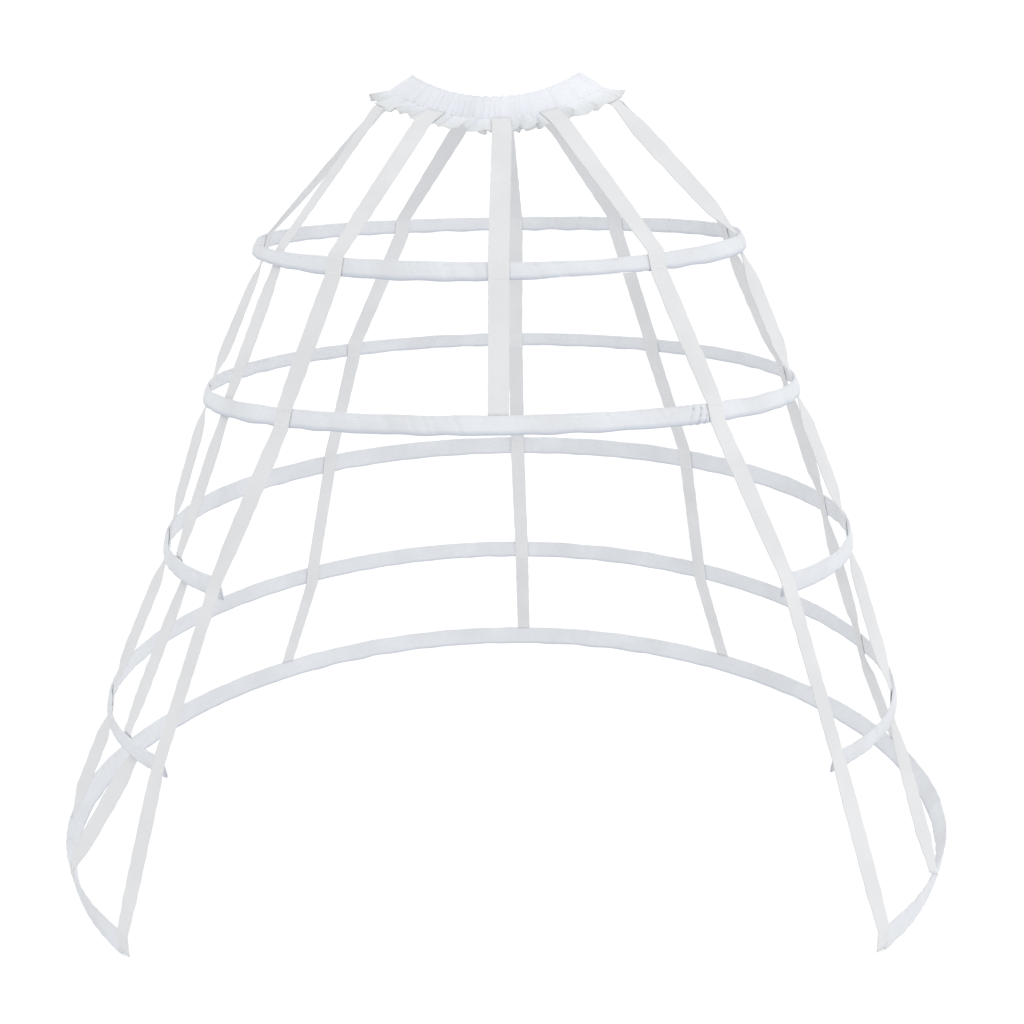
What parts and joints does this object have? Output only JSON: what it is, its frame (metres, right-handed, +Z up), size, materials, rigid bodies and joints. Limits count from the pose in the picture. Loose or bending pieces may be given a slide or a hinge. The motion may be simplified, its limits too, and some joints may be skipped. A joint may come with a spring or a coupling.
{
  "type": "crinoline cage",
  "caption": "Open-front hoop petticoat frame: boned cotton hoops hung on vertical tapes from a gathered waistband.",
  "frame": {"origin": "centre of the waist opening, level with the front of the seam between the waistband's casing and its frill", "axes": "+Z up, the open front faces -Y, +X is the right-hand side seen from the front"},
  "size_m": [1.0637, 0.9595, 0.877],
  "materials": {
    "waistband_cotton": "gathered white cotton",
    "casing_cotton": "plain woven white cotton",
    "tape_cotton": "twilled white cotton tape",
    "elastic": "ribbed white elastic",
    "bone_steel": "white coated spring steel",
    "connector_steel": "pressed steel",
    "tip_plastic": "white plastic"
  },
  "bodies": {
    "root": {"waistband": "waistband_cotton", "waist_elastic": "elastic", "hoop_1_casing": "casing_cotton", "hoop_2_casing": "casing_cotton", "hoop_3_casing": "casing_cotton", "hoop_4_casing": "casing_cotton", "hoop_5_casing": "casing_cotton", "hoop_1_bone": "bone_steel", "hoop_2_bone": "bone_steel", "hoop_3_bone": "bone_steel", "hoop_4_bone": "bone_steel", "hoop_5_bone": "bone_steel", "hoop_1_bone_connector": "connector_steel", "hoop_2_bone_connector": "connector_steel", "bone_tips": "tip_plastic", "tape_front_centre": "tape_cotton", "tape_front_left": "tape_cotton", "tape_front_right": "tape_cotton", "tape_side_front_left": "tape_cotton", "tape_side_front_right": "tape_cotton", "tape_side_back_left": "tape_cotton", "tape_side_back_right": "tape_cotton", "tape_back_left": "tape_cotton", "tape_back_right": "tape_cotton", "tape_back_centre": "tape_cotton"}
  },
  "joints": []
}
